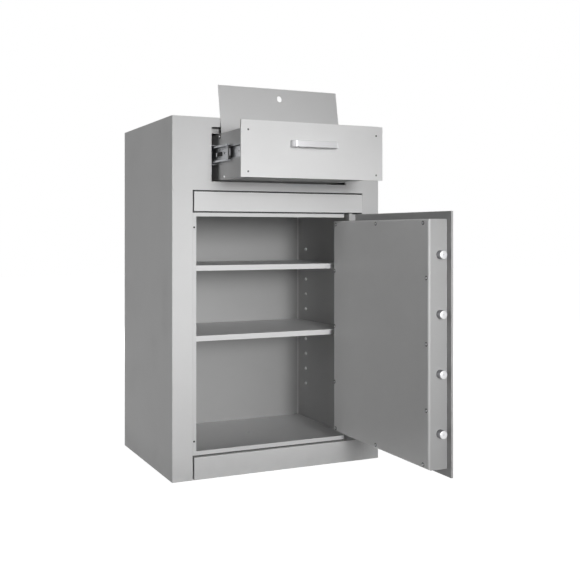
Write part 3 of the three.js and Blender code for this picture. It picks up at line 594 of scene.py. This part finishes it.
# Screws of the drawer, and the bushes and pins that its lid turns on
FRONT_SCREW_X = 190.4 * MM
FRONT_SCREW_LOW = 14 * MM
FRONT_SCREW_HIGH = 25.2 * MM
SIDE_SCREW_RISE = 7.5 * MM
SIDE_SCREW_SETBACK = 36 * MM
BUSH_RADIUS = 6 * MM
BUSH_HEIGHT = 1.2 * MM
BUSH_STEPS = 32
ROD_END_GAP = 0.3 * MM
SIDE_HEAD = 3.2 * MM, 3.6 * MM
PIN_HEAD = 2.7 * MM, 3.0 * MM
bush_profile = [(0.0, BUSH_RADIUS), (BUSH_HEIGHT * 0.6, BUSH_RADIUS), (BUSH_HEIGHT, BUSH_RADIUS * 0.9),
                (BUSH_HEIGHT, BUSH_RADIUS * 0.4), (BUSH_HEIGHT * 0.5, BUSH_RADIUS * 0.38)]
# The black bush round each lid pin is a real bush and also painted shade round the pin
bush_flange = turned_mesh("bush_flange", bush_profile, BUSH_STEPS)
side_screw = screw_mesh("side_screw", *SIDE_HEAD)
lid_pin = screw_mesh("lid_pin", *PIN_HEAD)
box_half_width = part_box("lid_rod")[1][0] + ROD_END_GAP


def drawer_screws():
    low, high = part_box("drawer_front")
    corners = [(side * FRONT_SCREW_X, z) for side, _ in SIDES
               for z in (low[2] + FRONT_SCREW_LOW, high[2] - FRONT_SCREW_HIGH)]
    for index, (x, z) in enumerate(corners, 1):
        place = facing((0, -1, 0), Vector((x, low[1], z)))
        piece(f"front_screw_{index}", small_screw, "drawer", "zinc_steel", screw_steel, place)


def side_fasteners(side, name):
    """The screw low on the drawer's side, and the bush and pin at the end of the lid's rod."""
    rod_y, rod_z = lid_pivot[1], lid_pivot[2]
    box_side = side * box_half_width
    outside = (side, 0, 0)
    screw_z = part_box("drawer_box")[0][2] + SIDE_SCREW_RISE
    screw_place = facing(outside, Vector((box_side, rod_y - SIDE_SCREW_SETBACK, screw_z)))
    piece(f"side_screw_{name}", side_screw, "drawer", "zinc_steel", pin_steel, screw_place)
    # The black bush is partly painted shade round the lid pin
    bush_place = facing(outside, Vector((box_side, rod_y, rod_z)))
    piece(f"lid_bush_{name}", bush_flange, "drawer", "zinc_steel", nylon, bush_place)
    pin_place = facing(outside, Vector((box_side + side * BUSH_HEIGHT * 0.5, rod_y, rod_z)))
    piece(f"lid_pin_{name}", lid_pin, "drawer", "zinc_steel", pin_steel, pin_place)


drawer_screws()
for side, name in SIDES:
    side_fasteners(side, name)


# Drawer handle: a flat strip bent into a bow, with its long edges rounded
BOW_STRIP = 5 * MM
BOW_BEND = 10 * MM
BOW_STEPS = 10
BOW_EDGE = 1.3 * MM


def bow_path(left, right, front, root):
    """The strip's middle line, from the left root round both bends to the right root."""
    arc = [math.pi / 2 * step / BOW_STEPS for step in range(BOW_STEPS + 1)]
    path = [Vector((left, root, 0))]
    path += [Vector((left + BOW_BEND - BOW_BEND * math.cos(angle),
                     front + BOW_BEND - BOW_BEND * math.sin(angle), 0)) for angle in arc]
    path += [Vector((right - BOW_BEND + BOW_BEND * math.sin(angle),
                     front + BOW_BEND - BOW_BEND * math.cos(angle), 0)) for angle in arc]
    return path + [Vector((right, root, 0))]


def bow_handle():
    low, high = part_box("drawer_handle")
    half = BOW_STRIP / 2
    path = bow_path(low[0] + half, high[0] - half, low[1] + half, high[1])
    bm = bmesh.new()
    rows = []
    for index, point in enumerate(path):
        along = (path[min(index + 1, len(path) - 1)] - path[max(index - 1, 0)]).normalized()
        side = Vector((-along.y, along.x, 0)) * half
        rows.append([bm.verts.new((*(point + side * share).xy, z)) for share, z in
                     ((-1, low[2]), (1, low[2]), (1, high[2]), (-1, high[2]))])
    skin(bm, rows)
    mesh = finished_mesh("bow_handle", bm, TURNED_EDGE)
    obj = piece("bow_handle", mesh, "drawer", "chromed", satin_chrome("handle_chrome"))
    rounded(obj, BOW_EDGE, BLOCK_EDGE)
    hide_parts("drawer_handle")


bow_handle()


# Slides: a nylon end with a steel tab ahead of each middle member, the ball cage inside it, a black strip
# along the inner member's top as painted shade under its flange, and the screw that holds that member to the
# drawer
CAP_LENGTH = 5.5 * MM
CAP_WIDTH = 7.5 * MM
CAP_HALF_HEIGHT = 19 * MM
CAP_EDGE = 1.2 * MM
TAB_THICKNESS = 1.2 * MM
TAB_MARGIN = 1.5 * MM
TAB_HALF_HEIGHT = 10 * MM
TAB_EDGE = 0.4 * MM
CAGE_SKIN = 0.6 * MM
CAGE_REACH = 4.3 * MM
CAGE_HALF_HEIGHT = 13 * MM
CAGE_SETBACK = 2 * MM
CAGE_LENGTH = 230 * MM
CAGE_EDGE = 0.3 * MM
SLIDE_WEB = 1.5 * MM
STRIP_REACH = 4.0 * MM
STRIP_DROP = 1.7 * MM
STRIP_HEIGHT = 1.9 * MM
STRIP_EDGE = 0.2 * MM
INNER_SCREW_INSET = 50 * MM
CLEARANCE = 0.1 * MM
retainer_steel = turned_steel("retainer_steel", dark=(0.22, 0.22, 0.23), light=(0.34, 0.34, 0.35))


def nearest_side(box, side):
    """The X of a slide member's face that is nearest to the drawer's middle."""
    return side * min(abs(box[0][0]), abs(box[1][0]))


def ball_retainer(side, name):
    low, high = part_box(f"slide_middle_{name}")
    face = nearest_side((low, high), side) + side * CLEARANCE
    middle_z = (low[2] + high[2]) / 2
    front = low[1]

    def part(kind, reach, y, half_height, radius, material):
        x = sorted((face + side * reach[0], face + side * reach[1]))
        corners = (x[0], y[0], middle_z - half_height), (x[1], y[1], middle_z + half_height)
        rounded_block(f"{kind}_{name}", *corners, radius, "slide_middles", "zinc_steel", material)

    part("retainer_cap", (0, CAP_WIDTH), (front - CAP_LENGTH, front), CAP_HALF_HEIGHT, CAP_EDGE, nylon)
    tab = (front - CAP_LENGTH - TAB_THICKNESS, front - CAP_LENGTH)
    part("retainer_tab", (TAB_MARGIN, CAP_WIDTH - TAB_MARGIN), tab, TAB_HALF_HEIGHT, TAB_EDGE, retainer_steel)
    cage = (front + CAGE_SETBACK, front + CAGE_SETBACK + CAGE_LENGTH)
    part("ball_cage", (-CAGE_REACH, -CAGE_SKIN), cage, CAGE_HALF_HEIGHT, CAGE_EDGE, nylon)


def inner_slide(side, name):
    """A black strip along the inner member's top, painted shade under its upper flange, and the screw in the
    member at the height of the middle member.
    """
    low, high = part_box(f"slide_inner_{name}")
    web = nearest_side((low, high), side) + side * SLIDE_WEB
    x = sorted((web + side * CLEARANCE, web + side * STRIP_REACH))
    strip_top = high[2] - STRIP_DROP
    corners = (x[0], low[1], strip_top - STRIP_HEIGHT), (x[1], high[1], strip_top)
    rounded_block(f"shade_strip_{name}", *corners, STRIP_EDGE, "drawer", "zinc_steel", nylon)
    screw_z = sum(corner[2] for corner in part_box(f"slide_middle_{name}")) / 2
    screw_place = facing((side, 0, 0), Vector((web, low[1] + INNER_SCREW_INSET, screw_z)))
    piece(f"inner_slide_screw_{name}", small_screw, "drawer", "zinc_steel", screw_steel, screw_place)


for side, name in SIDES:
    ball_retainer(side, name)
    inner_slide(side, name)


# Lips pressed out below the free holes that the shelf clips hang in
LIP_RADIUS = 5.4 * MM
LIP_HEIGHT = 5.0 * MM
LIP_DROP = 3.6 * MM
LIP_LEAD = 2.0 * MM
LIP_STEPS = 20
HOLE_PITCH = 50 * MM

# The rows of holes, counted up and down from the lower shelf's
HOLE_ROWS = range(-4, 6)
lip_profile = [(0.0, LIP_RADIUS), (LIP_HEIGHT * 0.45, LIP_RADIUS * 0.88),
               (LIP_HEIGHT * 0.85, LIP_RADIUS * 0.5), (LIP_HEIGHT, LIP_RADIUS * 0.15)]
lip = turned_mesh("clip_hole_lip", lip_profile, LIP_STEPS)
# A near-white plated finish on lips pressed from the painted wall: partly painted highlight, so they show as
# bright spots
lip_highlight_zinc = turned_steel("clip_hole_lip_zinc", dark=(0.86, 0.86, 0.87), light=(0.97, 0.97, 0.97))


def clip_middle(shelf, name, column):
    low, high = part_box(f"{shelf}_shelf_clip_{name}_{column}")
    return (Vector(low) + Vector(high)) / 2


def clip_hole_lips(side, name):
    """Lips of one side wall; the rows of both shelves have their clips in the holes and get none."""
    lowest = clip_middle("lower", name, "front").z
    shelf_rows = [round((clip_middle(shelf, name, "front").z - lowest) / HOLE_PITCH)
                  for shelf in ("lower", "upper")]
    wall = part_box(f"{name}_lining")[0 if side > 0 else 1][0]
    for column in ("front", "rear"):
        middle = clip_middle("lower", name, column)
        for row in HOLE_ROWS:
            if row not in shelf_rows:
                spot = Vector((wall, middle.y - LIP_LEAD, middle.z + row * HOLE_PITCH - LIP_DROP))
                piece(f"clip_hole_lip_{name}_{column}_{row - HOLE_ROWS[0] + 1}", lip, "cabinet", "zinc_steel",
                      lip_highlight_zinc, facing((-side, 0, 0), spot))


# Flanges of the side walls, folded over the edges of the back wall
FLANGE_WIDTH = 5.4 * MM
FLANGE_SHEET = 1.2 * MM
FLANGE_EDGE = 0.4 * MM
FLANGE_TONE = 0.62
flange_coat = powder_coat("flange_coat", FLANGE_TONE)


def wall_flange(side, name):
    low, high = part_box(f"{name}_lining")
    wall = low[0] if side > 0 else high[0]
    back_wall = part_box("back_lining")[0][1]
    x = sorted((wall - side * FLANGE_WIDTH, wall))
    corners = (x[0], back_wall - FLANGE_SHEET, low[2]), (x[1], back_wall, high[2])
    rounded_block(f"wall_flange_{name}", *corners, FLANGE_EDGE, "cabinet", "lining_paint", flange_coat)


for side, name in SIDES:
    clip_hole_lips(side, name)
    wall_flange(side, name)


# Plugs in the two holes of the door frame's face
PLUG_SETBACK = 0.8 * MM
PLUG_THICKNESS = 1.2 * MM
HOLE_RADIUS = 2.8 * MM
HOLE_INSET = 6 * MM
HOLE_RISE = 40 * MM
FRAME_LAP = 11.5 * MM
plug = turned_mesh("frame_plug", [(0.0, HOLE_RADIUS), (PLUG_THICKNESS, HOLE_RADIUS)], SCREW_STEPS)


def frame_plugs():
    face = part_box("door_frame")[0][1]
    x = plate_low[0] + FRAME_LAP - HOLE_INSET
    for name, z in (("lower", plate_low[2] + HOLE_RISE), ("upper", plate_high[2] - HOLE_RISE)):
        place = facing((0, 1, 0), Vector((x, face + PLUG_SETBACK, z)))
        piece(f"frame_plug_{name}", plug, "cabinet", "zinc_steel", nylon, place)


frame_plugs()


# Studio: a white floor and sky to the camera, plain grey light on the object.
# The floor glows a little less near the object, where the lamps light it too, than far away.
WHITE = (1, 1, 1, 1)
SKY_LIGHT = 0.03
FLOOR_GREY = (0.5, 0.5, 0.5, 1)
FLOOR_GLOW = 0.93
FLOOR_NEAR = 0.6
FLOOR_FAR = 1.3
FLOOR_HALF_SIDE = 12.0
FLOOR_DROP = 0.5 * MM


def white_to_the_eye(shader, plain, white):
    """White for rays from the camera, a reflection or glass, and the plain shader for all others."""
    camera, glossy, glass = [shader.node("ShaderNodeLightPath", output=f"Is {kind} Ray")
                             for kind in ("Camera", "Glossy", "Transmission")]
    return shader.node("ShaderNodeMixShader", {}, {0: camera.most(glossy).most(glass), 1: plain, 2: white})


def studio_sky():
    world = bpy.data.worlds.new("studio")
    bpy.context.scene.world = world
    world.use_nodes = True
    nodes = world.node_tree.nodes
    nodes.remove(nodes["Background"])
    shader = Shader(world.node_tree)
    plain = shader.node("ShaderNodeBackground", {}, {"Color": WHITE, "Strength": SKY_LIGHT})
    white = shader.node("ShaderNodeBackground", {}, {"Color": WHITE})
    shader.set(nodes["World Output"].inputs["Surface"], white_to_the_eye(shader, plain, white))


def white_floor():
    material = bpy.data.materials.new("white_floor")
    material.use_nodes = True
    nodes = material.node_tree.nodes
    nodes.remove(nodes["Principled BSDF"])
    shader = Shader(material.node_tree)
    matt = shader.node("ShaderNodeBsdfDiffuse", {}, {"Color": FLOOR_GREY})
    place = shader.node("ShaderNodeTexCoord", output="Object")
    distance = shader.node("ShaderNodeVectorMath", {"operation": "LENGTH"}, {0: place}, output="Value")
    span = {"From Min": FLOOR_NEAR, "From Max": FLOOR_FAR, "To Min": FLOOR_GLOW, "To Max": 1.0}
    glow = shader.node("ShaderNodeEmission", {},
                       {"Color": shader.node("ShaderNodeMapRange", {}, {"Value": distance, **span})})
    white = shader.node("ShaderNodeAddShader", {}, {0: matt, 1: glow})
    shader.set(nodes["Material Output"].inputs["Surface"], white_to_the_eye(shader, matt, white))
    return material


def studio_floor():
    bm = bmesh.new()
    bmesh.ops.create_grid(bm, x_segments=1, y_segments=1, size=FLOOR_HALF_SIDE)
    mesh = bpy.data.meshes.new("studio_floor")
    bm.to_mesh(mesh)
    bm.free()
    mesh.materials.append(white_floor())
    floor = bpy.data.objects.new("studio_floor", mesh)
    floor.location.z = -FLOOR_DROP
    bpy.context.scene.collection.objects.link(floor)


def hang(name, data, place, target):
    """Hangs a lamp at a place, turned to a target."""
    lamp = bpy.data.objects.new(name, data)
    lamp.location = place
    lamp.rotation_euler = (Vector(target) - Vector(place)).to_track_quat("-Z", "Y").to_euler()
    bpy.context.scene.collection.objects.link(lamp)
    return lamp


def softbox(name, place, target, power, side=1.6):
    data = bpy.data.lights.new(name, "AREA")
    data.shape = "SQUARE"
    data.size = side
    data.energy = power
    hang(name, data, place, target).visible_camera = False


def spotlight(name, place, target, power, spread, radius):
    data = bpy.data.lights.new(name, "SPOT")
    data.spot_size = math.radians(spread)
    data.spot_blend = 1.0
    data.shadow_soft_size = radius
    data.energy = power
    hang(name, data, place, target)


studio_sky()
studio_floor()
spotlight("key", place=(-0.5, -4.4, 0.98), target=(-0.22, 0, 0.55), power=705, spread=28, radius=0.76)
spotlight("high_key", place=(0, -3.4, 1.9), target=(-0.1, 0, 0.5), power=66, spread=40, radius=0.8)
softbox("left_fill", place=(-3.2, -0.6, 1.1), target=(0, 0, 0.6), power=14)
softbox("right_fill", place=(3.6, -0.4, 1.4), target=(0, 0, 0.5), power=15)
softbox("rear_fill", place=(0.4, 3.8, 1.6), target=(0, 0, 0.5), power=40)

# Camera, solved from the photograph's straight edges; side, focal length and horizon are its pixels
YAW = math.radians(25.369)
CAMERA_PLACE = (-1.091688, -2.366293, 0.679216)
PHOTO_SIDE = 580
PHOTO_FOCAL = 907.246
PHOTO_HORIZON = 233.075
SENSOR = 36.0
camera_data = bpy.data.cameras.new("camera")
camera_data.sensor_width = SENSOR
camera_data.lens = SENSOR * PHOTO_FOCAL / PHOTO_SIDE
camera_data.shift_y = (PHOTO_HORIZON - PHOTO_SIDE / 2) / PHOTO_SIDE
camera = bpy.data.objects.new("camera", camera_data)
camera.location = CAMERA_PLACE
camera.rotation_euler = (math.pi / 2, 0, -YAW)
bpy.context.scene.collection.objects.link(camera)
bpy.context.scene.camera = camera
bpy.context.scene.view_settings.view_transform = "Standard"
